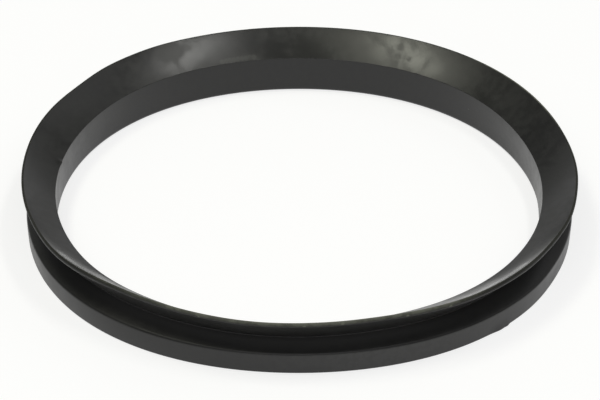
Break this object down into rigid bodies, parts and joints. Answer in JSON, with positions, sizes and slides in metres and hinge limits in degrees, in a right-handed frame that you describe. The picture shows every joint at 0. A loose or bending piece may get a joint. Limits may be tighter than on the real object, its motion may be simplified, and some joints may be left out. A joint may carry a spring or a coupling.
{
  "type": "v-ring seal",
  "caption": "V-ring shaft seal: a rubber ring with a plain bore and a clamping body, and a flexible conical lip that flares out above a V-groove.",
  "frame": {"origin": "centre of the flat back face of the body, on the bore axis", "axes": "+Z along the bore axis, from the back face towards the lip; the ring is round, so X and Y are any two directions across it"},
  "size_m": [0.102, 0.102, 0.011],
  "materials": {
    "rubber": "satin moulded black rubber"
  },
  "bodies": {
    "root": {"seal_ring": "rubber"}
  },
  "joints": []
}
